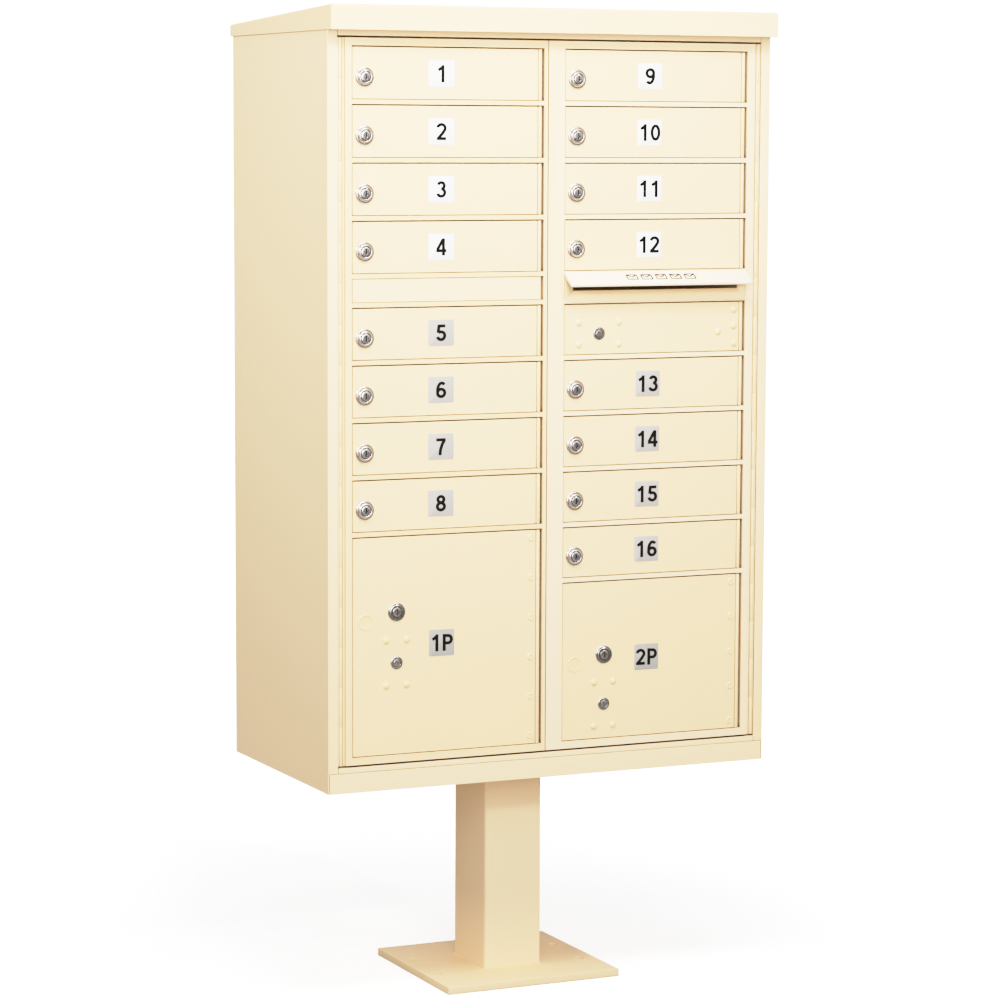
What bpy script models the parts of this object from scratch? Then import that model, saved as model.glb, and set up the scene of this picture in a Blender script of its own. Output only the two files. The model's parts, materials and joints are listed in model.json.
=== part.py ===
"""A cluster mailbox unit on a pedestal: two swinging master doors that carry the small doors.

Metres, +Z up. The doors face -Y, +X is to the right of someone who faces them, and the origin is on
the ground under the middle of the unit. Shapes are laid out with the cabinet's front face at y = 0
and the cabinet behind it; TO_WORLD then moves each finished object to its place.
"""

import math
from collections import namedtuple

import bmesh
import bpy
from mathutils import Matrix, Vector

INCH = 0.0254

# Overall sizes
TOTAL_HEIGHT = 62 * INCH
PEDESTAL_HEIGHT = 14 * INCH
CABINET_WIDTH = 30.3 * INCH
CABINET_DEPTH = 16.2 * INCH
SHEET = 0.075 * INCH  # folded cabinet and door sheet
GAP = 0.02 * INCH  # between parts that touch or nearly touch

# Top hood, which overhangs the cabinet on every side and falls to the rear
HOOD_WIDTH = 30.5 * INCH
HOOD_FRONT = 0.9 * INCH
HOOD_REAR = 0.35 * INCH
HOOD_BOTTOM = 60.46 * INCH
HOOD_FALL = 0.78 * INCH
HOOD_ROUND = 0.15 * INCH
HOOD_SHEET = 0.06 * INCH

# Door grid: each column of the front is a stack of cells, in units of one letter compartment
UNIT = 3.5 * INCH
COLUMN_PITCH = 14.25 * INCH
OPENING_LEFT = -13.56 * INCH
OPENING_WIDTH = 12.83 * INCH
GRID_TOP = 59.55 * INCH
RAIL = 0.28 * INCH
LEFT_COLUMN = 4 * [("tenant", 1)] + [("blank", 0.5)] + 4 * [("tenant", 1)] + [("parcel", 4)]
RIGHT_COLUMN = (
    4 * [("tenant", 1)] + [("slot", 0.5), ("outgoing", 1)] + 4 * [("tenant", 1)] + [("parcel", 3)]
)

# Master doors: frames that fill the cabinet's front between the hinges
MASTER_HALF = 14.0 * INCH
MASTER_BOTTOM = 15.72 * INCH
MASTER_EDGE = 0.47 * INCH  # height of the top and bottom rails
MASTER_DEPTH = 0.6 * INCH
MASTER_SPLIT = -0.455 * INCH
MASTER_GAP = 0.05 * INCH
STILE_FACE = 0.2 * INCH  # thickness of a stile's face, in front of the cam pocket
CAM_POCKET = 0.36 * INCH
HINGE_LEDGE = 0.17 * INCH
LEDGE_DEPTH = 0.4 * INCH

# Full-height hinges between the jambs and the master doors
JAMB_INNER = 14.5 * INCH
JAMB_DEPTH = 0.6 * INCH
MASTER_PIN_X = 14.3 * INCH
PIN_DEPTH = 0.14 * INCH
MASTER_KNUCKLE = 0.13 * INCH
HINGE_LEAF = 0.06 * INCH

# Small doors: shallow pans with a hinge knuckle down the right side
DOOR_FACE = 0.05 * INCH  # how far the door faces sit behind the frame
DOOR_BACK = 0.24 * INCH
DOOR_GAP = 0.04 * INCH
DOOR_PIN_INSET = 0.26 * INCH
DOOR_PIN_DEPTH = 0.17 * INCH
DOOR_KNUCKLE = 0.14 * INCH

# Locks: distance from the opening's left edge, and below its top
TENANT_LOCK = (0.84 * INCH, 1.87 * INCH)
PARCEL_LOCK = (2.95 * INCH, 4.73 * INCH)
CARRIER_LOCK = (2.95 * INCH, 7.88 * INCH)
OUTGOING_LOCK = (2.45 * INCH, 1.89 * INCH)
PARCEL_DISC = (0.88 * INCH, 5.25 * INCH)
LOCK_RADIUS = 0.58 * INCH
SMALL_LOCK_RADIUS = 0.4 * INCH
DISC_RADIUS = 0.49 * INCH  # the blanked-off lock hole beside a parcel door's upper lock
TENANT_RISE = 0.2 * INCH  # how far a lock's housing stands in front of the frame
PARCEL_RISE = 0.1 * INCH
SMALL_RISE = 0.04 * INCH
BORE_SHARE = 0.57  # radius of a plug's bore, over the radius of the housing
HOUSING_TAPER = 0.82  # radius of a housing's front, over that of its back
PLUG_PROUD = 0.05 * INCH  # how far a large plug stands in front of its housing
KEY_SLOT = (0.12, 0.55)  # half width and half height of a key slot, over the radius of its plug
CAM_LENGTH = 1.0 * INCH
CAM_WIDTH = 0.44 * INCH
CAM_FRONT = 0.28 * INCH
CAM_THICKNESS = 0.08 * INCH
RIVET_RADIUS = 0.23 * INCH
RIVET_HEIGHT = 0.08 * INCH
RIVET_CROWN = 0.6  # radius of a rivet's flat crown, over that of its foot
LOCK_RIVETS = (0.68 * INCH, 1.4 * INCH)  # half spacings of the four rivets round a carrier lock
HINGE_RIVETS = 12.05 * INCH  # the row of rivets beside the hinge, from the opening's left edge
PARCEL_RIVET_SPACING = 2.5 * INCH
PARCEL_RIVET_MARGIN = 0.55 * INCH
OUTGOING_RIVETS = (0.55 * INCH, 1.58 * INCH, 2.7 * INCH)  # below the opening's top
OUTGOING_INNER_RIVET = (10.9 * INCH, 1.95 * INCH)

# Outgoing mail: a slot in its own panel, under a slanted hood
SLOT_END = 0.6 * INCH
SLOT_BOTTOM = 0.52 * INCH
SLOT_HEIGHT = 0.75 * INCH
MAIL_HOOD_REACH = 1.03 * INCH
MAIL_HOOD_FALL = 0.75 * INCH
MAIL_HOOD_LIP = 0.21 * INCH
MAIL_HOOD_CHEEK = 0.4 * INCH
MAIL_HOOD_SHEET = 0.05 * INCH

# Turn latch behind the two master doors
LATCH_X = -0.05 * INCH
LATCH_HOOK = 0.95 * INCH
LATCH_HANDLE = 1.3 * INCH
LATCH_WIDTH = 0.3 * INCH
LATCH_SHAFT = 0.1 * INCH
STRIKER_REACH = 1.8 * INCH
STRIKER_HALF = 0.3 * INCH

# Compartment racks behind the doors
RACK_FRONT = 0.8 * INCH
RACK_BACK = 15.9 * INCH
RACK_SHEET = 0.06 * INCH

# Pedestal
POST_WIDTH = 4.0 * INCH
POST_DEPTH = 4.9 * INCH
POST_WALL = 0.19 * INCH
POST_ROUND = 0.15 * INCH
BASE_WIDTH = 12.1 * INCH
BASE_DEPTH = 11.6 * INCH
BASE_THICKNESS = 0.5 * INCH
ANCHOR_SPACING = (10.1 * INCH, 4.0 * INCH)
ANCHOR_RADIUS = 0.28 * INCH
TOP_PLATE = 10 * INCH
TOP_PLATE_THICKNESS = 0.25 * INCH

# Floor pan and rails of the cabinet's front
SILL_TOP = 15.24 * INCH
FLOOR_THICKNESS = 0.1 * INCH
SILL_RAIL_TOP = 15.6 * INCH
HEADER_BOTTOM = 60.13 * INCH
WALL_TOP = 60.9 * INCH

ROUND_STEPS = 16
RIVET_STEPS = 12
FRONT_Y = (MAIL_HOOD_REACH - CABINET_DEPTH - HOOD_REAR) / 2
TO_WORLD = Vector((0, FRONT_Y, 0))
POST_Y = CABINET_DEPTH / 2

Cell = namedtuple("Cell", "kind left right bottom top")
Housing = namedtuple("Housing", "centre radius rise")


# ---------------------------------------------------------------- scene, materials, placing


def clear_scene():
    for obj in list(bpy.data.objects):
        bpy.data.objects.remove(obj, do_unlink=True)


def new_collection(name):
    collection = bpy.data.collections.new(name)
    bpy.context.scene.collection.children.link(collection)
    return collection


def principled(name, colour, roughness, metallic=0.0):
    material = bpy.data.materials.new(name)
    material.use_nodes = True
    shader = material.node_tree.nodes["Principled BSDF"]
    shader.inputs["Base Color"].default_value = (*colour, 1)
    shader.inputs["Roughness"].default_value = roughness
    shader.inputs["Metallic"].default_value = metallic
    material.diffuse_color = (*colour, 1)
    return material


def place(obj, pivot=(0, 0, 0)):
    """Moves an object laid out from the front face to its place, with its origin on its pivot."""
    pivot = Vector(pivot)
    obj.data.transform(Matrix.Translation(-pivot))
    obj.location = pivot + TO_WORLD


def add_part(obj, material, pivot=(0, 0, 0)):
    place(obj, pivot)
    obj.data.materials.append(material)
    PARTS.objects.link(obj)
    return obj


def add_copy(name, mesh, pivot):
    """Adds one of several alike pieces, whose shared mesh is laid out from its pivot."""
    copy = bpy.data.objects.new(name, mesh)
    copy.location = pivot + TO_WORLD
    PARTS.objects.link(copy)


def add_tool(obj):
    """Keeps a cutter, or a piece that is joined to another, out of the part itself."""
    obj.hide_render = True
    obj.display_type = "WIRE"
    TOOLS.objects.link(obj)
    return obj


def boolean(obj, tool, operation):
    modifier = obj.modifiers.new(tool.name, "BOOLEAN")
    modifier.operation = operation
    modifier.solver = "EXACT"
    modifier.object = tool


def cut(obj, tool):
    place(add_tool(tool))
    boolean(obj, tool, "DIFFERENCE")


def join(obj, tool):
    place(add_tool(tool))
    boolean(obj, tool, "UNION")


# ---------------------------------------------------------------- shapes


def object_from(name, bm):
    bmesh.ops.recalc_face_normals(bm, faces=bm.faces)
    mesh = bpy.data.meshes.new(name)
    bm.to_mesh(mesh)
    bm.free()
    return bpy.data.objects.new(name, mesh)


def add_box(bm, low, high):
    """Adds a box between two corners, and returns its vertices."""
    low, high = Vector(low), Vector(high)
    size = Matrix.Diagonal((*(high - low), 1))
    middle = Matrix.Translation((low + high) / 2)
    return bmesh.ops.create_cube(bm, size=1, matrix=middle @ size)["verts"]


def add_cylinder(bm, centre, radius, length, axis="Z", steps=ROUND_STEPS, end_radius=None):
    """Adds a cylinder or a cone from centre along +axis; end_radius is its radius at the far end."""
    turn = {"Z": Matrix(), "Y": Matrix.Rotation(-math.pi / 2, 4, "X")}[axis]
    matrix = Matrix.Translation(centre) @ turn @ Matrix.Translation((0, 0, length / 2))
    end_radius = radius if end_radius is None else end_radius
    made = bmesh.ops.create_cone(
        bm, cap_ends=True, segments=steps, radius1=radius, radius2=end_radius, depth=length, matrix=matrix
    )
    for vert in made["verts"]:
        for face in vert.link_faces:
            face.smooth = len(face.verts) == 4


def boxes(name, corners):
    bm = bmesh.new()
    for low, high in corners:
        add_box(bm, low, high)
    return object_from(name, bm)


def solidify(obj, thickness, offset=-1):
    modifier = obj.modifiers.new("sheet", "SOLIDIFY")
    modifier.thickness = thickness
    modifier.offset = offset
    modifier.use_even_offset = True


def bevel_edges(bm, edges, width, segments):
    made = bmesh.ops.bevel(
        bm, geom=edges, offset=width, offset_type="OFFSET", segments=segments, profile=0.5, affect="EDGES"
    )
    for face in made["faces"]:
        face.smooth = True


def remove_faces(bm, test):
    faces = [face for face in bm.faces if test(face.normal)]
    bmesh.ops.delete(bm, geom=faces, context="FACES_ONLY")


def folded_sheet(name, path, along):
    """A sheet folded along an open path, which runs through the middle of its thickness."""
    bm = bmesh.new()
    corners = [bm.verts.new(point) for point in path]
    edges = [bm.edges.new(pair) for pair in zip(corners, corners[1:])]
    lifted = bmesh.ops.extrude_edge_only(bm, edges=edges)["geom"]
    moved = [item for item in lifted if isinstance(item, bmesh.types.BMVert)]
    bmesh.ops.translate(bm, verts=moved, vec=along)
    obj = object_from(name, bm)
    solidify(obj, SHEET, offset=0)
    return obj


def pan(name, low, high, thickness=SHEET):
    """A shallow tray that is open at the back."""
    bm = bmesh.new()
    add_box(bm, low, high)
    remove_faces(bm, lambda normal: normal.y > 0.9)
    obj = object_from(name, bm)
    solidify(obj, thickness)
    return obj


def evaluated_mesh(obj):
    """The object's mesh with its modifiers applied; the object itself is removed."""
    if not obj.users_collection:
        TOOLS.objects.link(obj)
    graph = bpy.context.evaluated_depsgraph_get()
    mesh = bpy.data.meshes.new_from_object(obj.evaluated_get(graph))
    bpy.data.objects.remove(obj)
    return mesh


# ---------------------------------------------------------------- door grid


def cells(column, left):
    """The openings of one column, from the top down."""
    found = []
    top = GRID_TOP
    for kind, units in column:
        bottom = top - units * UNIT + RAIL
        found.append(Cell(kind, left, left + OPENING_WIDTH, bottom, top))
        top -= units * UNIT
    found[-1] = found[-1]._replace(bottom=MASTER_BOTTOM + MASTER_EDGE)
    return found


def of_kind(column, kind):
    return [cell for cell in column if cell.kind == kind]


def lock_centre(cell, lock):
    return Vector((cell.left + lock[0], 0, cell.top - lock[1]))


def door_pin(cell):
    return Vector((cell.right - DOOR_PIN_INSET, DOOR_PIN_DEPTH, cell.bottom))


# ---------------------------------------------------------------- pedestal


def build_pedestal():
    half_width, half_depth = BASE_WIDTH / 2, BASE_DEPTH / 2
    low = (-half_width, POST_Y - half_depth, 0)
    high = (half_width, POST_Y + half_depth, BASE_THICKNESS)
    plate = boxes("anchor_base_plate", [(low, high)])
    holes = bmesh.new()
    for x in (-ANCHOR_SPACING[0] / 2, ANCHOR_SPACING[0] / 2):
        for y in (-ANCHOR_SPACING[1] / 2, ANCHOR_SPACING[1] / 2):
            add_cylinder(holes, (x, POST_Y + y, -GAP), ANCHOR_RADIUS, BASE_THICKNESS + 2 * GAP)
    cut(plate, object_from("anchor_holes", holes))
    add_part(plate, CREAM)

    top_plate_top = PEDESTAL_HEIGHT - GAP
    top_plate_bottom = top_plate_top - TOP_PLATE_THICKNESS
    half = TOP_PLATE / 2
    low = (-half, POST_Y - half, top_plate_bottom)
    add_part(boxes("pedestal_top_plate", [(low, (half, POST_Y + half, top_plate_top))]), CREAM)

    add_part(build_post(BASE_THICKNESS + GAP, top_plate_bottom - GAP), CREAM)


def build_post(bottom, top):
    """A rectangular tube with rounded corners, open at both ends."""
    half = Vector((POST_WIDTH / 2, POST_DEPTH / 2, 0))
    middle = Vector((0, POST_Y, 0))
    bm = bmesh.new()
    add_box(bm, middle - half + Vector((0, 0, bottom)), middle + half + Vector((0, 0, top)))
    upright = [edge for edge in bm.edges if abs(edge.verts[0].co.z - edge.verts[1].co.z) > POST_WALL]
    bevel_edges(bm, upright, POST_ROUND, 2)
    post = object_from("pedestal_post", bm)
    bore = half - Vector((POST_WALL, POST_WALL, 0))
    low = middle - bore + Vector((0, 0, bottom - GAP))
    cut(post, boxes("pedestal_post_bore", [(low, middle + bore + Vector((0, 0, top + GAP)))]))
    return post


# ---------------------------------------------------------------- cabinet


def build_side_panel(name, side):
    """side is -1 for the left panel and 1 for the right one."""
    outer = side * (CABINET_WIDTH / 2 - SHEET / 2)
    inner = side * (JAMB_INNER + SHEET / 2)
    front = SHEET / 2
    rear = CABINET_DEPTH - 1.5 * SHEET - GAP
    path = [
        (inner, JAMB_DEPTH, PEDESTAL_HEIGHT),
        (inner, front, PEDESTAL_HEIGHT),
        (outer, front, PEDESTAL_HEIGHT),
        (outer, rear, PEDESTAL_HEIGHT),
        (inner, rear, PEDESTAL_HEIGHT),
    ]
    panel = folded_sheet(name, path, (0, 0, WALL_TOP - PEDESTAL_HEIGHT))
    # The jamb stops above the sill, which is part of the floor pan.
    near = side * (JAMB_INNER - SHEET)
    far = side * (CABINET_WIDTH / 2 - SHEET)
    low = (min(near, far), -SHEET, PEDESTAL_HEIGHT - SHEET)
    high = (max(near, far), JAMB_DEPTH + SHEET, SILL_TOP + GAP)
    cut(panel, boxes(name + "_sill_notch", [(low, high)]))
    rear_high = (max(near, far), CABINET_DEPTH, SILL_TOP + GAP)
    rear_low = (min(near, far), rear - SHEET, PEDESTAL_HEIGHT - SHEET)
    cut(panel, boxes(name + "_floor_notch", [(rear_low, rear_high)]))
    add_part(panel, CREAM)


def build_floor_pan():
    half = CABINET_WIDTH / 2 - SHEET - GAP
    rear = CABINET_DEPTH - SHEET - GAP
    bm = bmesh.new()
    add_box(bm, (-half, 0, PEDESTAL_HEIGHT), (half, rear, SILL_TOP))
    remove_faces(bm, lambda normal: normal.z > 0.9)
    floor = object_from("cabinet_floor_pan", bm)
    solidify(floor, FLOOR_THICKNESS)
    add_part(floor, CREAM)


def build_back_panel():
    half = CABINET_WIDTH / 2
    low = (-half, CABINET_DEPTH - SHEET, PEDESTAL_HEIGHT)
    add_part(boxes("back_panel", [(low, (half, CABINET_DEPTH, WALL_TOP))]), CREAM)


def build_front_rails():
    """The cabinet's fixed rails above and below the master doors, each an angle with an inward leg."""
    half = JAMB_INNER - GAP
    front = SHEET / 2
    along = (2 * half, 0, 0)
    header_foot = HEADER_BOTTOM + SHEET / 2
    path = [(-half, front, WALL_TOP), (-half, front, header_foot), (-half, JAMB_DEPTH, header_foot)]
    add_part(folded_sheet("front_header_rail", path, along), CREAM)
    sill_head = SILL_RAIL_TOP - SHEET / 2
    path = [
        (-half, front, SILL_TOP + GAP),
        (-half, front, sill_head),
        (-half, JAMB_DEPTH, sill_head),
    ]
    add_part(folded_sheet("front_sill_rail", path, along), CREAM)


def build_top_hood():
    bm = bmesh.new()
    rear = CABINET_DEPTH + HOOD_REAR
    add_box(bm, (-HOOD_WIDTH / 2, -HOOD_FRONT, HOOD_BOTTOM), (HOOD_WIDTH / 2, rear, TOTAL_HEIGHT))
    for vert in bm.verts:
        if vert.co.y > 0 and vert.co.z > HOOD_BOTTOM + HOOD_ROUND:
            vert.co.z -= HOOD_FALL
    remove_faces(bm, lambda normal: normal.z < -0.9)
    closed = [edge for edge in bm.edges if len(edge.link_faces) == 2]
    bevel_edges(bm, closed, HOOD_ROUND, 3)
    hood = object_from("top_hood", bm)
    solidify(hood, HOOD_SHEET)
    add_part(hood, CREAM)


def build_master_hinge(name, side):
    """The knuckle that a master door turns on, with the leaf that fixes it to the jamb."""
    low_end = MASTER_BOTTOM
    length = GRID_TOP + MASTER_EDGE - low_end
    bm = bmesh.new()
    add_cylinder(bm, (side * MASTER_PIN_X, PIN_DEPTH, low_end), MASTER_KNUCKLE, length)
    hinge = object_from(name, bm)
    near = side * (JAMB_INNER - GAP)
    far = side * (MASTER_PIN_X + MASTER_KNUCKLE / 2)
    low = (min(near, far), PIN_DEPTH - HINGE_LEAF, low_end)
    join(hinge, boxes(name + "_leaf", [(low, (max(near, far), JAMB_DEPTH, low_end + length))]))
    add_part(hinge, CREAM)


# ---------------------------------------------------------------- compartment racks


def compartments(column):
    """The cells as the rack divides them: letters dropped in the slot fall to the outgoing cell below."""
    found = []
    for cell in column:
        if found and found[-1].kind == "slot":
            cell = cell._replace(top=found.pop().top)
        found.append(cell)
    return found


def build_rack(name, column):
    wall = RACK_SHEET
    shelf = (RAIL - wall) / 2  # from the edge of a rail to the face of the shelf behind it
    left, right = column[0].left, column[0].right
    floor = PEDESTAL_HEIGHT + FLOOR_THICKNESS + GAP
    low = (left - wall, RACK_FRONT, floor)
    rack = boxes(name, [(low, (right + wall, RACK_BACK, GRID_TOP + shelf + wall))])
    hollows = []
    for cell in compartments(column):
        low = (cell.left, RACK_FRONT - wall, cell.bottom - shelf)
        hollows.append((low, (cell.right, RACK_BACK - wall, cell.top + shelf)))
    under = column[-1].bottom - shelf - wall
    hollows.append(((left, RACK_FRONT - wall, floor - wall), (right, RACK_BACK + wall, under)))
    cut(rack, boxes(name + "_hollows", hollows))
    add_part(rack, SHELVES)


# ---------------------------------------------------------------- master doors


def master_pivot(side):
    return (side * MASTER_PIN_X, PIN_DEPTH, MASTER_BOTTOM)


def build_master_frame(name, side, column, bolt_on=()):
    """A frame with one opening for each cell, and pockets behind its left stile for the lock cams."""
    inner = MASTER_SPLIT + side * MASTER_GAP / 2
    outer = side * MASTER_HALF
    left, right = min(inner, outer), max(inner, outer)
    top = GRID_TOP + MASTER_EDGE
    frame = boxes(name, [((left, 0, MASTER_BOTTOM), (right, MASTER_DEPTH, top))])
    openings = []
    for cell in column:
        ledge = HINGE_LEDGE if cell.kind in ("tenant", "parcel", "outgoing") else 0
        through = (cell.right - ledge, MASTER_DEPTH + GAP, cell.top)
        openings.append(((cell.left, -GAP, cell.bottom), (cell.right, LEDGE_DEPTH, cell.top)))
        openings.append(((cell.left, LEDGE_DEPTH - GAP, cell.bottom), through))
    cut(frame, boxes(name + "_front_openings", openings[::2]))
    cut(frame, boxes(name + "_rear_openings", openings[1::2]))
    pockets = [
        ((cell.left - CAM_POCKET, STILE_FACE, cell.bottom), (cell.left + GAP, MASTER_DEPTH + GAP, cell.top))
        for cell in column
        if cell.kind in ("tenant", "parcel")
    ]
    cut(frame, boxes(name + "_cam_pockets", pockets))
    # The moving leaf of the full-height hinge reaches from the frame's edge almost to the knuckle.
    near = outer - side * GAP
    far = side * (MASTER_PIN_X - MASTER_KNUCKLE - GAP)
    low = (min(near, far), PIN_DEPTH - HINGE_LEAF / 2, MASTER_BOTTOM)
    high = (max(near, far), PIN_DEPTH + HINGE_LEAF / 2, top)
    join(frame, boxes(name + "_leaf", [(low, high)]))
    for tool, operation in bolt_on:
        operation(frame, tool)
    add_part(frame, CREAM, master_pivot(side))


def striker_tab(cell):
    """The tab behind the outgoing mail door that its lock cam turns behind."""
    centre = lock_centre(cell, OUTGOING_LOCK)
    front = DOOR_BACK + 2 * GAP
    low = (cell.left - GAP, front, centre.z - STRIKER_HALF)
    high = (cell.left + STRIKER_REACH, front + CAM_THICKNESS, centre.z + STRIKER_HALF)
    return boxes("outgoing_striker_tab", [(low, high)])


def latch_bore(centre):
    bm = bmesh.new()
    start = (centre.x, STILE_FACE, centre.z)
    add_cylinder(bm, start, LATCH_SHAFT + 2 * GAP, MASTER_DEPTH, axis="Y")
    return object_from("latch_bore", bm)


def build_master_latch(centre):
    """A turn latch: its hook points up when the doors are free, and left behind both stiles to lock."""
    bm = bmesh.new()
    shaft_start = STILE_FACE + 2 * GAP
    plate_front = MASTER_DEPTH + 2 * GAP
    shaft_length = plate_front - shaft_start + GAP
    add_cylinder(bm, (centre.x, shaft_start, centre.z), LATCH_SHAFT, shaft_length, axis="Y")
    latch = object_from("master_latch", bm)
    half = LATCH_WIDTH / 2
    low = (centre.x - half, plate_front, centre.z - LATCH_HANDLE)
    high = (centre.x + half, plate_front + CAM_THICKNESS, centre.z + LATCH_HOOK)
    join(latch, boxes("master_latch_plate", [(low, high)]))
    add_part(latch, STEEL, centre)


def build_filler(cell):
    low = (cell.left + DOOR_GAP, DOOR_FACE, cell.bottom + GAP)
    high = (cell.right - HINGE_LEDGE, DOOR_BACK, cell.top - GAP)
    add_part(pan("blank_filler_panel", low, high), CREAM)


def build_slot_panel(cell):
    low = (cell.left + GAP, 0, cell.bottom + GAP)
    panel = pan("mail_slot_panel", low, (cell.right - GAP, DOOR_BACK, cell.top - GAP))
    bottom = cell.bottom + SLOT_BOTTOM
    low = (cell.left + SLOT_END, -GAP, bottom)
    cut(panel, boxes("mail_slot", [(low, (cell.right - SLOT_END, DOOR_BACK / 2, bottom + SLOT_HEIGHT))]))
    add_part(panel, CREAM)


def build_mail_hood(cell):
    """A slanted canopy over the slot: a pan with lips on all four sides, open underneath."""
    top = cell.top + RAIL - 1.5 * GAP
    bm = bmesh.new()
    add_box(bm, (cell.left + GAP, -MAIL_HOOD_REACH, 0), (cell.right - GAP, -GAP, top))
    for vert in bm.verts:
        at_front = vert.co.y < -MAIL_HOOD_REACH / 2
        upper = vert.co.z > 0
        height = MAIL_HOOD_LIP if at_front else MAIL_HOOD_CHEEK
        vert.co.z = top - (MAIL_HOOD_FALL if at_front else 0) - (0 if upper else height)
    bm.normal_update()
    remove_faces(bm, lambda normal: normal.z < -0.7)
    hood = object_from("outgoing_mail_hood", bm)
    solidify(hood, MAIL_HOOD_SHEET)
    add_part(hood, CREAM)


# ---------------------------------------------------------------- small doors


def door(name, cell, housings, rivets=(), discs=()):
    """A door pan with its hinge knuckle, bored lock housings, rivet heads and raised discs."""
    pin = door_pin(cell)
    low = Vector((cell.left + DOOR_GAP, DOOR_FACE, cell.bottom + DOOR_GAP))
    high = Vector((pin.x - DOOR_KNUCKLE / 2, DOOR_BACK, cell.top - DOOR_GAP))
    obj = pan(name, low, high)
    fittings = bmesh.new()
    bores = bmesh.new()
    add_cylinder(fittings, (pin.x, pin.y, low.z), DOOR_KNUCKLE, high.z - low.z)
    for centre, radius, rise in housings:
        front = (centre.x, -rise, centre.z)
        depth = rise + DOOR_FACE + 2 * SHEET
        add_cylinder(fittings, front, radius * HOUSING_TAPER, depth, axis="Y", end_radius=radius)
        start = (centre.x, -2 * rise, centre.z)
        add_cylinder(bores, start, radius * BORE_SHARE, 2 * rise + DOOR_BACK, axis="Y")
    for x, z in rivets:
        front = (x, DOOR_FACE - RIVET_HEIGHT, z)
        depth = RIVET_HEIGHT + SHEET / 2
        add_cylinder(fittings, front, RIVET_RADIUS * RIVET_CROWN, depth, "Y", RIVET_STEPS, RIVET_RADIUS)
    for centre, radius in discs:
        front = (centre.x, DOOR_FACE - GAP, centre.z)
        add_cylinder(fittings, front, radius, GAP + SHEET / 2, axis="Y")
    join(obj, object_from(name + "_fittings", fittings))
    cut(obj, object_from(name + "_bores", bores))
    return obj


def rivets_round(centre, half_x, half_z):
    return [(centre.x + x, centre.z + z) for x in (-half_x, half_x) for z in (-half_z, half_z)]


def build_tenant_doors(tenants):
    """All the letter doors share one mesh, made for the first cell."""
    first = tenants[0]
    housing = Housing(lock_centre(first, TENANT_LOCK), LOCK_RADIUS, TENANT_RISE)
    pattern = door("tenant_door", first, [housing])
    place(pattern, door_pin(first))
    mesh = evaluated_mesh(pattern)
    mesh.materials.append(CREAM)
    for number, cell in enumerate(tenants, start=1):
        add_copy(f"tenant_door_{number:02}", mesh, door_pin(cell))


def build_parcel_door(number, cell):
    carrier_lock = lock_centre(cell, CARRIER_LOCK)
    housings = [
        Housing(lock_centre(cell, PARCEL_LOCK), LOCK_RADIUS, PARCEL_RISE),
        Housing(carrier_lock, SMALL_LOCK_RADIUS, SMALL_RISE),
    ]
    height = cell.top - cell.bottom
    spaces = round(height / PARCEL_RIVET_SPACING)
    step = (height - 2 * PARCEL_RIVET_MARGIN) / spaces
    edge_x = cell.left + HINGE_RIVETS
    top = cell.top - PARCEL_RIVET_MARGIN
    rivets = [(edge_x, top - step * index) for index in range(spaces + 1)]
    rivets += rivets_round(carrier_lock, *LOCK_RIVETS)
    disc = (lock_centre(cell, PARCEL_DISC), DISC_RADIUS)
    obj = door(f"parcel_door_{number}", cell, housings, rivets, [disc])
    add_part(obj, CREAM, door_pin(cell))


def build_outgoing_door(cell):
    centre = lock_centre(cell, OUTGOING_LOCK)
    half_z, half_x = LOCK_RIVETS
    edge_x = cell.left + HINGE_RIVETS
    rivets = [(edge_x, cell.top - below) for below in OUTGOING_RIVETS]
    rivets += rivets_round(centre, half_x, half_z)
    inner = lock_centre(cell, OUTGOING_INNER_RIVET)
    rivets.append((inner.x, inner.z))
    obj = door("outgoing_mail_door", cell, [Housing(centre, SMALL_LOCK_RADIUS, SMALL_RISE)], rivets)
    add_part(obj, CREAM, door_pin(cell))


# ---------------------------------------------------------------- locks


def lock_mesh(centre, radius, rise, cam_length, cam_front=CAM_FRONT, cam_up=False):
    """A key plug with a slot in its face and the cam it turns; the cam rests clear of the frame."""
    plug_radius = radius * BORE_SHARE - GAP
    bm = bmesh.new()
    add_cylinder(bm, (centre.x, -rise, centre.z), plug_radius, rise + cam_front + GAP, axis="Y")
    plug = object_from("lock_plug", bm)
    tip = centre.z + cam_length if cam_up else centre.z - cam_length
    heel = centre.z - CAM_WIDTH / 2 if cam_up else centre.z + CAM_WIDTH / 2
    low = (centre.x - CAM_WIDTH / 2, cam_front, min(tip, heel))
    high = (centre.x + CAM_WIDTH / 2, cam_front + CAM_THICKNESS, max(tip, heel))
    join(plug, boxes("lock_cam", [(low, high)]))
    half_width, half_height = (plug_radius * share for share in KEY_SLOT)
    low = (centre.x - half_width, -rise - GAP, centre.z - half_height)
    high = (centre.x + half_width, -rise + plug_radius / 2, centre.z + half_height)
    cut(plug, boxes("key_slot", [(low, high)]))
    place(plug, centre)
    mesh = evaluated_mesh_in_place(plug)
    mesh.materials.append(NICKEL)
    return mesh


def evaluated_mesh_in_place(obj):
    """Applies an object's Booleans, then removes the object and the pieces they used."""
    tools = [modifier.object for modifier in obj.modifiers if modifier.type == "BOOLEAN"]
    mesh = evaluated_mesh(obj)
    for tool in tools:
        bpy.data.objects.remove(tool)
    return mesh


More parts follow.
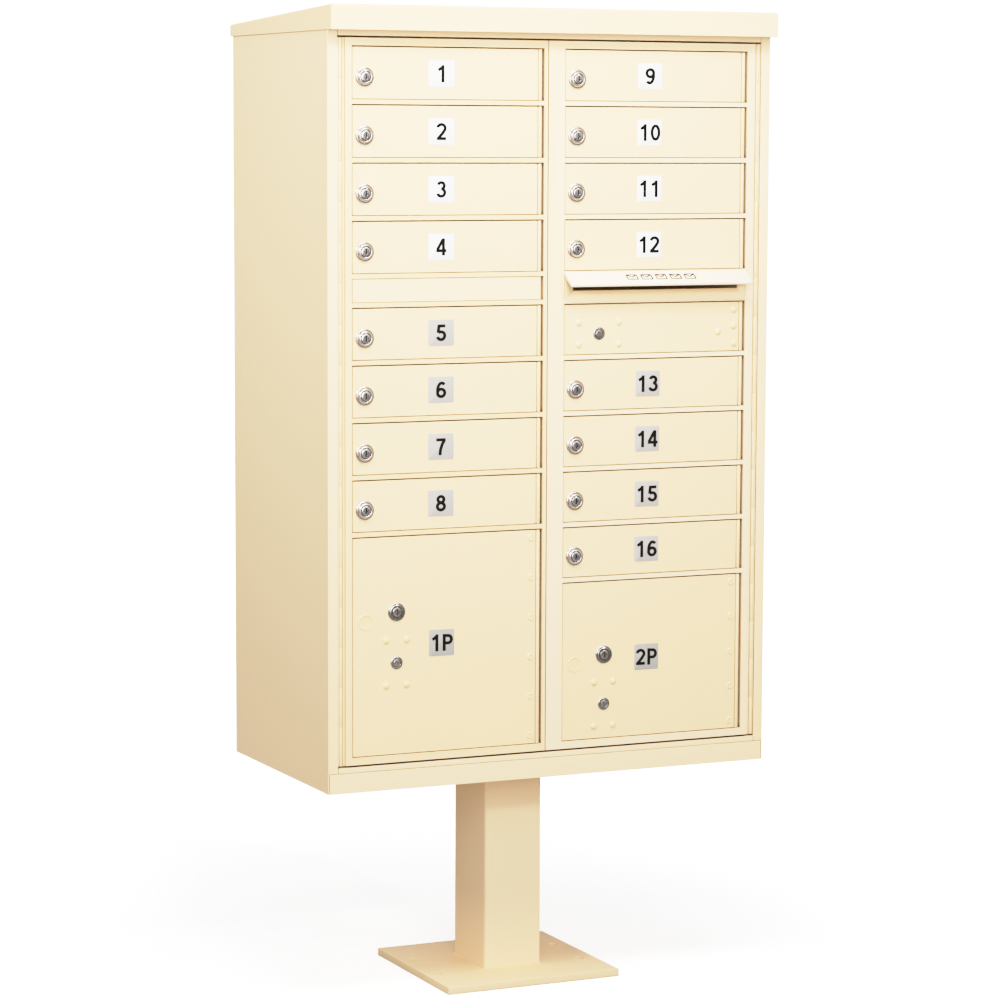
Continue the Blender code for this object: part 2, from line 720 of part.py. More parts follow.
def build_locks(tenants, parcels, outgoing):
    centre = lock_centre(tenants[0], TENANT_LOCK)
    tenant_mesh = lock_mesh(centre, LOCK_RADIUS, TENANT_RISE + PLUG_PROUD, CAM_LENGTH)
    for number, cell in enumerate(tenants, start=1):
        add_copy(f"tenant_lock_{number:02}", tenant_mesh, lock_centre(cell, TENANT_LOCK))

    centre = lock_centre(parcels[0], PARCEL_LOCK)
    long_cam = PARCEL_LOCK[0] + CAM_POCKET * 0.6
    parcel_mesh = lock_mesh(centre, LOCK_RADIUS, PARCEL_RISE + PLUG_PROUD, long_cam, cam_up=True)
    carrier_centre = lock_centre(parcels[0], CARRIER_LOCK)
    carrier_mesh = lock_mesh(carrier_centre, SMALL_LOCK_RADIUS, SMALL_RISE, CAM_LENGTH)
    for number, cell in enumerate(parcels, start=1):
        add_copy(f"parcel_lock_{number}", parcel_mesh, lock_centre(cell, PARCEL_LOCK))
        add_copy(f"carrier_lock_{number}", carrier_mesh, lock_centre(cell, CARRIER_LOCK))

    centre = lock_centre(outgoing, OUTGOING_LOCK)
    behind_striker = CAM_FRONT + CAM_THICKNESS + 2 * GAP
    outgoing_mesh = lock_mesh(centre, SMALL_LOCK_RADIUS, SMALL_RISE, CAM_LENGTH, behind_striker)
    add_copy("outgoing_mail_lock", outgoing_mesh, centre)


# ---------------------------------------------------------------- the whole unit


def main():
    left_column = cells(LEFT_COLUMN, OPENING_LEFT)
    right_column = cells(RIGHT_COLUMN, OPENING_LEFT + COLUMN_PITCH)
    outgoing = of_kind(right_column, "outgoing")[0]
    slot = of_kind(right_column, "slot")[0]
    latch_centre = Vector((LATCH_X, MASTER_DEPTH, (outgoing.bottom + outgoing.top) / 2))

    build_pedestal()
    build_side_panel("left_side_panel", -1)
    build_side_panel("right_side_panel", 1)
    build_floor_pan()
    build_back_panel()
    build_front_rails()
    build_top_hood()
    build_master_hinge("left_master_hinge", -1)
    build_master_hinge("right_master_hinge", 1)
    build_rack("left_compartment_rack", left_column)
    build_rack("right_compartment_rack", right_column)

    build_master_frame("left_master_frame", -1, left_column)
    extras = [(striker_tab(outgoing), join), (latch_bore(latch_centre), cut)]
    build_master_frame("right_master_frame", 1, right_column, extras)
    build_master_latch(latch_centre)
    build_filler(of_kind(left_column, "blank")[0])
    build_slot_panel(slot)
    build_mail_hood(slot)

    tenants = of_kind(left_column + right_column, "tenant")
    parcels = of_kind(left_column + right_column, "parcel")
    build_tenant_doors(tenants)
    for number, cell in enumerate(parcels, start=1):
        build_parcel_door(number, cell)
    build_outgoing_door(outgoing)
    build_locks(tenants, parcels, outgoing)


clear_scene()
PARTS = new_collection("cluster_mailbox_unit")
TOOLS = new_collection("cutters_and_joined_pieces")
CREAM = principled("cream_powder_coat", (0.86, 0.78, 0.6), 0.45)
SHELVES = principled("shelf_powder_coat", (0.8, 0.73, 0.56), 0.5)
NICKEL = principled("nickel_lock", (0.62, 0.6, 0.56), 0.25, metallic=1.0)
STEEL = principled("zinc_plated_steel", (0.55, 0.55, 0.54), 0.4, metallic=1.0)
main()
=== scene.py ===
"""Looks for the cluster mailbox unit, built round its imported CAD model.

Metres, in the frame of the CAD: +Z up, the doors face -Y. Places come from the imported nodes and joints.
The small doors, locks, hinges, mail hood, placards and pedestal are rebuilt finely here. The cabinet,
racks, master frames and latch are the CAD nodes themselves, with rounded edges and their own materials.
"""

import json
import math

import bmesh
import bpy
from mathutils import Matrix, Vector


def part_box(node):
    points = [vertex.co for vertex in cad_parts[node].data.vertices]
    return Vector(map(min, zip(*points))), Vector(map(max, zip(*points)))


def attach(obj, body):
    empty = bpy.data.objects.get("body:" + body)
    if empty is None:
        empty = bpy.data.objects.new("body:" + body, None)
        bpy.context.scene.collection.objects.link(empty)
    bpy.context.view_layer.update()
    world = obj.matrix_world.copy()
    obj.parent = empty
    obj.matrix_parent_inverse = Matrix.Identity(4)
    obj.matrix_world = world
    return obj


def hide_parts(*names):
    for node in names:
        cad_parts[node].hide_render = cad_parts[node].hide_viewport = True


INCH = 0.0254

# Folded sheet
LEAF_SHEET = 0.075 * INCH  # the leaf between a small door and its knuckle
DOOR_SHEET = 0.05 * INCH
FOLD = 0.055 * INCH  # outside radius of a door's folds, which has to be more than its sheet
EDGE = 0.03 * INCH  # rounding of the CAD nodes' edges
GAP = 0.02 * INCH  # clearance, and how far a cutting shape passes what it cuts
EASE = 0.3  # how far the middle of a rounded end lies from its sharp corner, over its radius

# Small doors, measured back from the front of the master frames
DOOR_FACE = 0.05 * INCH
DOOR_BACK = 0.24 * INCH
KNUCKLE = 0.14 * INCH
DOOR_SAG = 0.03 * INCH  # of a door's top edge below the CAD's; the bottom edge hangs half as far
KNUCKLE_GROOVE = 0.015 * INCH  # between a door's sheet and its knuckle
KNUCKLE_END = 0.02 * INCH

# Locks, in inches: bezels as profiles of (radius, height in front of the door's face)
TENANT_BEZEL = [
    (0.61, -0.02), (0.61, 0.04), (0.59, 0.07), (0.545, 0.11), (0.525, 0.11), (0.515, 0.09), (0.5, 0.09),
    (0.49, 0.13), (0.455, 0.2), (0.42, 0.235), (0.39, 0.25), (0.355, 0.25), (0.335, 0.23), (0.328, 0.2),
    (0.328, -0.19), (0.4, -0.19),
]
PARCEL_BEZEL = [
    (0.585, -0.02), (0.585, 0.03), (0.56, 0.065), (0.51, 0.075), (0.495, 0.03), (0.475, 0.03),
    (0.46, 0.09), (0.415, 0.105), (0.4, 0.05), (0.385, 0.05), (0.375, 0.125), (0.345, 0.125), (0.328, 0.1),
    (0.328, -0.19), (0.4, -0.19),
]
SMALL_BEZEL = [
    (0.415, -0.02), (0.415, 0.03), (0.395, 0.06), (0.355, 0.07), (0.345, 0.025), (0.325, 0.025),
    (0.315, 0.075), (0.275, 0.08), (0.255, 0.06), (0.246, 0.03), (0.246, -0.19), (0.3, -0.19),
]
TENANT_PLUG = (0.3, 0.275)  # plugs, as (radius, height of the face)
PARCEL_PLUG = (0.3, 0.14)
SMALL_PLUG = (0.222, 0.075)
PLUG_FACE = [(0, 0), (0.34, 0), (0.38, -0.12), (0.5, -0.12), (0.54, 0)]  # over the plug's radius
KEYWAY = (0.13, 0.62)  # half width and half height over the plug's radius
KEYWAY_DEPTH = 0.3 * INCH

# The ring under a bezel, in inches: (how far past the ring's radius, height), and the rings' radii
SEAT = [(0.03, -0.02), (0.03, 0.004), (0.01, 0.012), (-0.04, 0.012), (-0.04, -0.02)]
TENANT_SEAT = 0.6
PARCEL_SEAT = 0.58
SMALL_SEAT = 0.41

CAM_WIDTH = 0.44 * INCH
CAM_THICKNESS = 0.08 * INCH

# Rivets and the blanked-off lock hole, in inches like the bezels
RIVET = [(0, 0.13), (0.07, 0.125), (0.14, 0.1), (0.19, 0.06), (0.22, 0.02), (0.23, -0.02), (0, -0.02)]
FLAT_RIVET = [(0, 0.04), (0.12, 0.04), (0.15, 0.07), (0.19, 0.055), (0.22, 0.01), (0.22, -0.02), (0, -0.02)]
DISC = [
    (0, 0.004), (0.4, 0.004), (0.41, 0.04), (0.42, 0.05), (0.46, 0.05), (0.47, 0.04), (0.49, -0.02),
    (0, -0.02),
]

# Where they are: round a small lock, down a door's hinge side, and from an opening's left edge and top
LOCK_RIVETS = (0.68 * INCH, 1.4 * INCH)
HINGE_RIVETS = 12.05 * INCH  # from the opening's left edge
PARCEL_RIVET_SPACING = 2.5 * INCH
PARCEL_RIVET_MARGIN = 0.55 * INCH
OUTGOING_RIVETS = (0.55 * INCH, 1.58 * INCH, 2.7 * INCH)
OUTGOING_INNER_RIVET = (10.9 * INCH, 1.95 * INCH)
PARCEL_DISC = (0.88 * INCH, 5.25 * INCH)
DOOR_GAP = 0.04 * INCH  # between a small door and its opening

# Placards: centre from the opening's left edge, and below its top
PLACARD = (1.7 * INCH, 1.6 * INCH)
PLACARD_CENTRE = (5.91 * INCH, 1.63 * INCH)
PARCEL_PLACARD = (1.7 * INCH, 1.65 * INCH)
PARCEL_PLACARD_CENTRE = 5.98 * INCH
PLACARD_THICKNESS = 0.02 * INCH
PLACARD_CORNER = 0.08 * INCH
DIGIT_HEIGHT = 1.05 * INCH
DIGIT_STRETCH = 1.1  # width over that of the figures as drawn
GLYPH_WIDTH = 0.62  # these three are shares of the height
GLYPH_SPACE = 0.08
GLYPH_STROKE = 0.175
INK_THICKNESS = 0.004 * INCH
WHITE_PLACARDS = {1, 2, 3, 4, 9, 10, 11, 12}

# Mail hood, and the envelopes printed on it
HOOD_FALL = 0.75 * INCH  # how much lower its front is than its back
HOOD_LIP = 0.17 * INCH
HOOD_CHEEK = 0.4 * INCH
HOOD_FOLD = 0.06 * INCH
HOOD_SHEET = 0.05 * INCH
ENVELOPE = (0.7 * INCH, 0.44 * INCH)
ENVELOPE_FLAP = 0.1  # how far the flap's point hangs below the middle, over half the height
ENVELOPE_LINE = 0.09 * INCH
ENVELOPE_SPACING = 1.02 * INCH
ENVELOPE_PLACES = (-2, -1, 0, 1, 2)
ENVELOPE_SHIFT = 0.1 * INCH  # of the whole row, to the right of the hood's middle

# Plate round the mail slot
COVER_THICKNESS = 0.02 * INCH
SLOT_RAIL = 0.27 * INCH  # how far the plate hangs below the slot panel
SLOT_END = 0.58 * INCH
SLOT_BOTTOM = 0.5 * INCH
SLOT_HEIGHT = 0.75 * INCH

# Full-height hinges
HINGE_KNUCKLES = 18
HINGE_RADIUS = 0.13 * INCH
LEAF_FRONT = 0.06 * INCH  # from the pin forward to the leaf's face
LEAF_START = 0.6  # where the leaf begins, over the knuckle's radius

# Pedestal
POST_ROUND = 0.2 * INCH
POST_WALL = 0.19 * INCH
WELD = 0.16 * INCH
WELD_STEPS = 6
PLATE_CHAMFER = 0.03 * INCH
ANCHOR_RADIUS = 0.28 * INCH
ANCHOR_SPACING = (10.1 * INCH, 4.0 * INCH)

# Steps round a full turn, along a figure's bow and round a corner of the post
ROUND_STEPS = 48
ARC_STEPS = 20
CORNER_STEPS = 8
MITRE_LIMIT = 0.4  # keeps the corners of a printed line from running out to points

# Surfaces
COAT_SPECULAR = 0.08
PRINT_SPECULAR = 0.05
WORN_EDGE = (0.52, 0.6)  # pointiness at which the coat starts to thin, and where it is thinnest
PAINTED_CREVICE_SHADE = (0.04, 0.02, 0.012, 1)  # painted shade: near black deep in the gaps between parts, where shade falls
# how far the occlusion looks for the painted shade in gaps
PAINTED_SHADE_REACH = 0.3 * INCH
PAINTED_SHADE_OPENNESS = (0.15, 0.62)  # shares of open sky at which the painted shade is full, and gone

# Light, as strengths and places
AMBIENT = 0.57
REFLECTED = 0.25  # more of the studio's white for reflections
SUN = 0.6
SUN_FROM = (25, 25.6)  # degrees to the right of straight ahead, and up
SUN_SIZE = 3  # degrees
SUN_DISTANCE = 5
FLOOR_NEAR = 3.1
FLOOR_FAR = 9.0
FLOOR_FADE = (0.6, 2.2)  # distances between which the floor goes from its near to its far brightness
FLOOR_BOUNCE = 0.36
FLOOR_RADIUS = 40
SOFTBOXES = [  # name, place, what it points at, power, size, spread in degrees
    ("front_softbox", (-0.5, -2.4, 2.0), (0, -0.2, 1.45), 5.6, (1.4, 1.0), 60),
    ("top_softbox", (-0.2, -1.3, 2.7), (0, -0.2, 1.2), 47.5, (1.2, 0.5), 180),
    ("left_softbox", (-2.2, -0.4, 2.2), (-0.35, 0, 1.4), 12, (0.8, 1.0), 90),
    ("fill_softbox", (-0.8, -2.6, 1.2), (0, -0.2, 0.9), 42, (1.4, 1.0), 180),
]

# Film: the brightest light it holds, the backdrop's light over that, and points of (light, what it shows)
FILM_WHITE = 4.0
BACKDROP = 1.1
FILM = [(0.36, 0.36), (0.63, 0.57), (0.89, 0.715), (1.3, 0.825), (1.8, 0.896), (2.4, 0.94), (3.2, 0.975)]
COMBINED_CURVE = 3  # after the curves for red, green and blue

# Camera
CAMERA_PLACE = (-2.3226, -5.0140, 1.3754)
CAMERA_HEADING = -24.84  # degrees, turned to the right of straight ahead
CAMERA_FALL = 6.13  # degrees down
CAMERA_ROLL = 0.22
CAMERA_LENS = 121.9
CAMERA_SENSOR = 36

# CAD nodes that are kept, with rounded edges
COATED_NODES = (
    "left_side_panel", "right_side_panel", "cabinet_floor_pan", "back_panel", "front_header_rail",
    "front_sill_rail", "left_master_frame", "right_master_frame", "blank_filler_panel", "mail_slot_panel",
    "pedestal_top_plate", "top_hood",
)
RACK_NODES = ("left_compartment_rack", "right_compartment_rack")

scene = bpy.context.scene
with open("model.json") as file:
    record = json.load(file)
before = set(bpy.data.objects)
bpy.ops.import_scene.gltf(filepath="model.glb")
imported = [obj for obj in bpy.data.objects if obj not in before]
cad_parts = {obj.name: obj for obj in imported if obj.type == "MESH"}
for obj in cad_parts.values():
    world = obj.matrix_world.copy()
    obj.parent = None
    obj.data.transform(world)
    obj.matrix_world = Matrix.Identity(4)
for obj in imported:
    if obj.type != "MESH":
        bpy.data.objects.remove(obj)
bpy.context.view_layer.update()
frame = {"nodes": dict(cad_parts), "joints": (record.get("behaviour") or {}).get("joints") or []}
JOINTS = {joint["name"]: Vector(joint["pos_m"]) for joint in frame["joints"]}
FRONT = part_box("left_master_frame")[0].y
FACE = FRONT + DOOR_FACE


# ---------------------------------------------------------------- materials


def new_material(name):
    material = bpy.data.materials.new(name)
    material.use_nodes = True
    return material, material.node_tree.nodes["Principled BSDF"]


def node(material, kind, inputs=(), **settings):
    """Adds a node. An input's value is a number, a colour or the socket that feeds it."""
    made = material.node_tree.nodes.new(kind)
    for key, value in settings.items():
        setattr(made, key, value)
    for key, value in dict(inputs).items():
        feed(material, made, key, value)
    return made


def feed(material, target, key, value):
    if isinstance(value, bpy.types.NodeSocket):
        material.node_tree.links.new(value, target.inputs[key])
    else:
        target.inputs[key].default_value = value


def noise(material, scale, detail, stretch=(1, 1, 1)):
    """A noise pattern fixed to the object; scale is in lumps per metre."""
    where = node(material, "ShaderNodeTexCoord").outputs["Object"]
    mapping = node(material, "ShaderNodeMapping", {"Vector": where, "Scale": stretch})
    inputs = {"Vector": mapping.outputs["Vector"], "Scale": scale, "Detail": detail}
    return node(material, "ShaderNodeTexNoise", inputs).outputs["Fac"]


def between(material, factor, low, high):
    """Maps a noise's middle range to low..high."""
    inputs = {"Value": factor, "From Min": 0.3, "From Max": 0.7, "To Min": low, "To Max": high}
    return node(material, "ShaderNodeMapRange", inputs).outputs["Result"]


def mixed(material, factor, first, second):
    """A colour between two colours."""
    made = node(material, "ShaderNodeMix", data_type="RGBA")
    feed(material, made, 0, factor)
    feed(material, made, 6, first)
    feed(material, made, 7, second)
    return made.outputs[2]


def shade_of(colour, share):
    return (*(channel * share for channel in colour), 1)


def bump(material, height, strength, distance, normal=None):
    inputs = {"Height": height, "Strength": strength, "Distance": distance}
    if normal is not None:
        inputs["Normal"] = normal
    return node(material, "ShaderNodeBump", inputs).outputs["Normal"]


def openness(material):
    """0 deep in a gap between parts, where the painted shade is full, and 1 on an open face."""
    sky = node(material, "ShaderNodeAmbientOcclusion", {"Distance": PAINTED_SHADE_REACH}, samples=8)
    full_shade, no_shade = PAINTED_SHADE_OPENNESS
    inputs = {"Value": sky.outputs["AO"], "From Min": full_shade, "From Max": no_shade}
    return node(material, "ShaderNodeMapRange", inputs).outputs["Result"]


def powder_coat(name, colour, roughness):
    """Satin powder coat: fine orange peel, slight clouding of colour, a thinner coat on sharp edges, and
    painted shade deep in the gaps.
    """
    material, shader = new_material(name)
    shader.inputs["Specular IOR Level"].default_value = COAT_SPECULAR
    clouding = between(material, noise(material, scale=5, detail=3), 0, 1)
    colour_out = mixed(material, clouding, shade_of(colour, 0.975), shade_of(colour, 1.0))
    speckle = between(material, noise(material, scale=900, detail=1), 0, 0.6)
    colour_out = mixed(material, speckle, colour_out, shade_of(colour, 0.96))
    pointed = node(material, "ShaderNodeNewGeometry").outputs["Pointiness"]
    start, end = WORN_EDGE
    inputs = {"Value": pointed, "From Min": start, "From Max": end}
    worn = node(material, "ShaderNodeMapRange", inputs).outputs["Result"]
    paler = [channel ** 0.8 for channel in colour]
    colour_out = mixed(material, worn, colour_out, shade_of(paler, 1.0))
    # Painted shade: the coat's colour turns near black deep in the gaps between parts.
    feed(material, shader, "Base Color", mixed(material, openness(material), PAINTED_CREVICE_SHADE, colour_out))
    patches = noise(material, scale=60, detail=2)
    feed(material, shader, "Roughness", between(material, patches, roughness - 0.05, roughness + 0.07))
    waves = bump(material, noise(material, scale=320, detail=2), strength=0.18, distance=0.0004)
    pores = noise(material, scale=1400, detail=1)
    peel = bump(material, pores, strength=0.12, distance=0.0002, normal=waves)
    feed(material, shader, "Normal", peel)
    return material


def plated(name, colour, roughness, scratch_roughness):
    """Plated metal with fine scratches, a few dull patches and painted shade deep in the gaps."""
    material, shader = new_material(name)
    shader.inputs["Metallic"].default_value = 1.0
    scratches = noise(material, scale=900, detail=3, stretch=(1, 1, 0.06))
    tint = between(material, noise(material, scale=120, detail=2), 0, 1)
    tinted = mixed(material, tint, shade_of(colour, 0.88), shade_of(colour, 1.0))
    # Painted shade: the metal's colour turns near black deep in the gaps between parts.
    feed(material, shader, "Base Color", mixed(material, openness(material), PAINTED_CREVICE_SHADE, tinted))
    feed(material, shader, "Roughness", between(material, scratches, roughness, scratch_roughness))
    feed(material, shader, "Normal", bump(material, scratches, strength=0.1, distance=0.0001))
    return material


def printed(name, colour, roughness):
    """Foil, label stock or ink: nearly even, with faint mottling."""
    material, shader = new_material(name)
    shader.inputs["Specular IOR Level"].default_value = PRINT_SPECULAR
    mottle = between(material, noise(material, scale=250, detail=2), 0, 1)
    mottled = mixed(material, mottle, shade_of(colour, 0.93), shade_of(colour, 1.0))
    feed(material, shader, "Base Color", mottled)
    patches = noise(material, scale=90, detail=1)
    feed(material, shader, "Roughness", between(material, patches, roughness, roughness + 0.1))
    grain = noise(material, scale=800, detail=1)
    feed(material, shader, "Normal", bump(material, grain, strength=0.05, distance=0.0001))
    return material


def studio_floor():
    """White paper: bright where the camera sees it, and a duller reflector for the object."""
    material, shader = new_material("studio_floor")
    seen = node(material, "ShaderNodeLightPath").outputs["Is Camera Ray"]
    where = node(material, "ShaderNodeTexCoord").outputs["Object"]
    distance = node(material, "ShaderNodeVectorMath", {0: where}, operation="LENGTH").outputs["Value"]
    start, end = FLOOR_FADE
    fade = {"Value": distance, "From Min": start, "From Max": end}
    fade |= {"To Min": FLOOR_NEAR, "To Max": FLOOR_FAR}
    shown = node(material, "ShaderNodeMapRange", fade).outputs["Result"]
    strength = {"Value": seen, "To Min": FLOOR_BOUNCE, "To Max": shown}
    feed(material, shader, "Base Color", node(material, "ShaderNodeMapRange", strength).outputs["Result"])
    shader.inputs["Roughness"].default_value = 1.0
    shader.inputs["Specular IOR Level"].default_value = 0.0
    return material


# ---------------------------------------------------------------- mesh helpers


def object_from(name, bm, material, smooth_angle=35):
    bmesh.ops.recalc_face_normals(bm, faces=bm.faces)
    mesh = bpy.data.meshes.new(name)
    bm.to_mesh(mesh)
    bm.free()
    mesh.materials.append(material)
    mesh.shade_smooth()
    mesh.set_sharp_from_angle(angle=math.radians(smooth_angle))
    return linked(name, mesh)


def linked(name, mesh, offset=(0, 0, 0)):
    obj = bpy.data.objects.new(name, mesh)
    obj.location = offset
    scene.collection.objects.link(obj)
    return obj


def add_box(bm, low, high):
    low, high = Vector(low), Vector(high)
    matrix = Matrix.Translation((low + high) / 2) @ Matrix.Diagonal((*(high - low), 1))
    bmesh.ops.create_cube(bm, size=1, matrix=matrix)


def bevel(bm, edges, width, segments):
    bmesh.ops.bevel(
        bm, geom=edges, offset=width, offset_type="OFFSET", segments=segments, profile=0.5, affect="EDGES"
    )


def add_rounded_box(bm, low, high, radius, segments=2):
    fresh = bmesh.new()
    add_box(fresh, low, high)
    bevel(fresh, fresh.edges[:], radius, segments)
    merge_into(bm, fresh)


def merge_into(bm, fresh):
    mesh = bpy.data.meshes.new("joined")
    fresh.to_mesh(mesh)
    fresh.free()
    bm.from_mesh(mesh)
    bpy.data.meshes.remove(mesh)


def facing(x, z, y=None):
    """A place on the doors' face whose local Z points out of the door."""
    return Matrix.Translation((x, FACE if y is None else y, z)) @ Matrix.Rotation(math.pi / 2, 4, "X")


def lathe(bm, profile, place, closed=False, unit=INCH):
    """Turns a profile of (radius, height) points about the local Z axis of a place."""
    rings = []
    for radius, height in profile:
        count = ROUND_STEPS if radius else 1
        angles = [2 * math.pi * index / ROUND_STEPS for index in range(count)]
        points = [Vector((radius * math.cos(a), radius * math.sin(a), height)) * unit for a in angles]
        rings.append([bm.verts.new(place @ point) for point in points])
    pairs = list(zip(rings, rings[1:] + rings[:1] if closed else rings[1:]))
    for lower, upper in pairs:
        for index in range(ROUND_STEPS):
            after = (index + 1) % ROUND_STEPS
            corners = [lower[index % len(lower)], lower[after % len(lower)]]
            corners += [upper[after % len(upper)], upper[index % len(upper)]]
            bm.faces.new(list(dict.fromkeys(corners)))


def rounded_rod(bm, place, radius, length, end=KNUCKLE_END):
    profile = [(0, 0), (radius - end, 0), (radius - end * EASE, end * EASE), (radius, end)]
    profile += [(across, length - up) for across, up in reversed(profile)]
    lathe(bm, profile, place, unit=1)


def solidify(obj, thickness):
    """Gives an open skin a thickness, behind the skin."""
    modifier = obj.modifiers.new("sheet", "SOLIDIFY")
    modifier.thickness = thickness
    modifier.offset = -1
    modifier.use_even_offset = True


def weigh_normals(obj):
    weighted = obj.modifiers.new("normals", "WEIGHTED_NORMAL")
    weighted.keep_sharp = True


def round_edges(obj, width):
    modifier = obj.modifiers.new("edges", "BEVEL")
    modifier.width = width
    modifier.segments = 2
    modifier.limit_method = "ANGLE"
    modifier.angle_limit = math.radians(30)
    weigh_normals(obj)


def applied(obj):
    """The object's mesh with its modifiers applied; the object is removed."""
    graph = bpy.context.evaluated_depsgraph_get()
    mesh = bpy.data.meshes.new_from_object(obj.evaluated_get(graph))
    bpy.data.objects.remove(obj)
    return mesh


def cut(obj, tool):
    """Cuts one object from another, once and for all."""
    modifier = obj.modifiers.new("cut", "BOOLEAN")
    modifier.solver = "EXACT"
    modifier.object = tool
    name = obj.name
    mesh = applied(obj)
    bpy.data.objects.remove(tool)
    return linked(name, mesh)


def soften(name, material, width=EDGE):
    """Keeps a CAD node, with rounded edges and its own material."""
    obj = frame["nodes"][name]
    obj.data.materials.clear()
    obj.data.materials.append(material)
    obj.data.shade_smooth()
    weld = obj.modifiers.new("weld", "WELD")
    weld.merge_threshold = 1e-5
    flat = obj.modifiers.new("flat", "DECIMATE")
    flat.decimate_type = "DISSOLVE"
    flat.angle_limit = math.radians(1)
    round_edges(obj, width)


# ---------------------------------------------------------------- small doors


def door_sheet(low, high):
    """A door folded from sheet: a flat face and four short returns, open at the back."""
    bm = bmesh.new()
    add_box(bm, low, high)
    back = [face for face in bm.faces if face.normal.y > 0.9]
    bmesh.ops.delete(bm, geom=back, context="FACES_ONLY")
    folds = [edge for edge in bm.edges if len(edge.link_faces) == 2]
    bevel(bm, folds, FOLD, 4)
    return bm


def door_limits(door):
    """The corners of a small door's sheet, and its hinge pin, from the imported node."""
    low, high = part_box(door)
    pin = JOINTS[door + "_swing"]
    fold_x = pin.x - KNUCKLE - KNUCKLE_GROOVE
    top = high.z - DOOR_SAG
    return Vector((low.x, FACE, low.z - DOOR_SAG / 2)), Vector((fold_x, FRONT + DOOR_BACK, top)), pin


def opening_corner(door):
    """The left edge and the top of the opening that a small door fills."""
    low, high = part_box(door)
    return low.x - DOOR_GAP, high.z + DOOR_GAP


def add_knuckle(bm, pin, low, high):
    rounded_rod(bm, Matrix.Translation((pin.x, pin.y, low.z)), KNUCKLE, high.z - low.z)
    leaf_low = (high.x - FOLD, high.y - LEAF_SHEET, low.z + FOLD)
    add_rounded_box(bm, leaf_low, (pin.x, high.y - LEAF_SHEET / 3, high.z - FOLD), LEAF_SHEET / 8)


def lock_seat(bm, centre, radius):
    """The thin raised ring that a lock's bezel stands on."""
    profile = [(radius + wider, height) for wider, height in SEAT]
    lathe(bm, profile, facing(centre.x, centre.z), closed=True)


def build_small_door(door, locks, rivets=(), flat_rivets=(), discs=()):
    """One door: its folded sheet, and its hinge knuckle with the rivets and discs on its face."""
    low, high, pin = door_limits(door)
    sheet = object_from(door + "_sheet", door_sheet(low, high), COAT)
    solidify(sheet, DOOR_SHEET)
    weigh_normals(sheet)
    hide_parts(door)
    bm = bmesh.new()
    add_knuckle(bm, pin, low, high)
    for centre, radius in locks:
        lock_seat(bm, centre, radius)
    for places, profile in ((rivets, RIVET), (flat_rivets, FLAT_RIVET), (discs, DISC)):
        for x, z in places:
            lathe(bm, profile, facing(x, z))
    fittings = object_from(door + "_knuckle", bm, COAT)
    for piece in (sheet, fittings):
        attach(piece, door)


# ---------------------------------------------------------------- locks


def bezel_mesh(name, profile, material):
    bm = bmesh.new()
    lathe(bm, profile, facing(0, 0, 0), closed=True)
    obj = object_from(name, bm, material, 50)
    return applied(obj)


def plug_body(name, radius, rise, depth, material):
    """The plug without its keyway: a round bar with a dished face."""
    end = 0.1 * radius
    profile = [(across * radius, rise + up * radius) for across, up in PLUG_FACE]
    profile += [(radius - end, rise), (radius - EASE * end, rise - EASE * end), (radius, rise - end)]
    profile += [(radius, rise - depth), (0, rise - depth)]
    bm = bmesh.new()
    lathe(bm, profile, facing(0, 0, DOOR_FACE), unit=1)
    return object_from(name, bm, material, 40)


def keyway_cutters(radius, front, material):
    """The shapes that cut the keyway: its slot, and a shorter step at the slot's side."""
    half_width, half_height = KEYWAY[0] * radius, KEYWAY[1] * radius
    slot = bmesh.new()
    slot_low = (-half_width, front - GAP, -half_height)
    add_rounded_box(slot, slot_low, (half_width, front + KEYWAY_DEPTH, half_height), half_width * 0.5)
    step = bmesh.new()
    step_low = (half_width * 0.5, front - GAP, -half_height * 0.35)
    add_box(step, step_low, (half_width * 2.4, front + KEYWAY_DEPTH / 2, half_height * 0.1))
    return [object_from("keyway", slot, material), object_from("ward", step, material)]


def cam_mesh(low, high, front, material):
    """The flat tail on the back of a plug."""
    bm = bmesh.new()
    corner = (CAM_WIDTH / 2, front + CAM_THICKNESS, high)
    add_rounded_box(bm, (-CAM_WIDTH / 2, front, low), corner, CAM_THICKNESS * 0.3)
    return applied(object_from("cam", bm, material))


def plug_mesh(name, plug, cam_low, cam_high, cam_front, material):
    """A key plug with its keyway and cam, laid out from the lock's axis on the front plane."""
    radius, rise = (size * INCH for size in plug)
    body = plug_body(name, radius, rise, rise + cam_front - DOOR_FACE + GAP, material)
    for cutter in keyway_cutters(radius, DOOR_FACE - rise, material):
        body = cut(body, cutter)
    merged = bmesh.new()
    merged.from_mesh(applied(body))
    merged.from_mesh(cam_mesh(cam_low, cam_high, cam_front, material))
    return applied(object_from(name, merged, material, 40))


def add_lock(lock, door, bezel, plug):
    """A bezel that stays on the door and a plug that turns in it."""
    place = JOINTS[lock + "_turn"]
    plug_piece = linked(lock + "_plug", plug, (place.x, FRONT, place.z))
    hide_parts(lock)
    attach(plug_piece, lock)
    bezel_piece = linked(lock + "_bezel", bezel, (place.x, FACE, place.z))
    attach(bezel_piece, door)


def cam_limits(lock):
    """The lowest and highest point of a lock's cam from the lock's axis, and the front of the cam."""
    low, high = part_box(lock)
    place = JOINTS[lock + "_turn"]
    return low.z - place.z, high.z - place.z, high.y - CAM_THICKNESS - FRONT


# ---------------------------------------------------------------- placards


def arc(centre_x, centre_y, radius_x, radius_y, start, end):
    """Points on part of an ellipse, from one angle to another in degrees."""
    angles = [math.radians(start + (end - start) * index / ARC_STEPS) for index in range(ARC_STEPS + 1)]
    return [(centre_x + radius_x * math.cos(a), centre_y + radius_y * math.sin(a)) for a in angles]


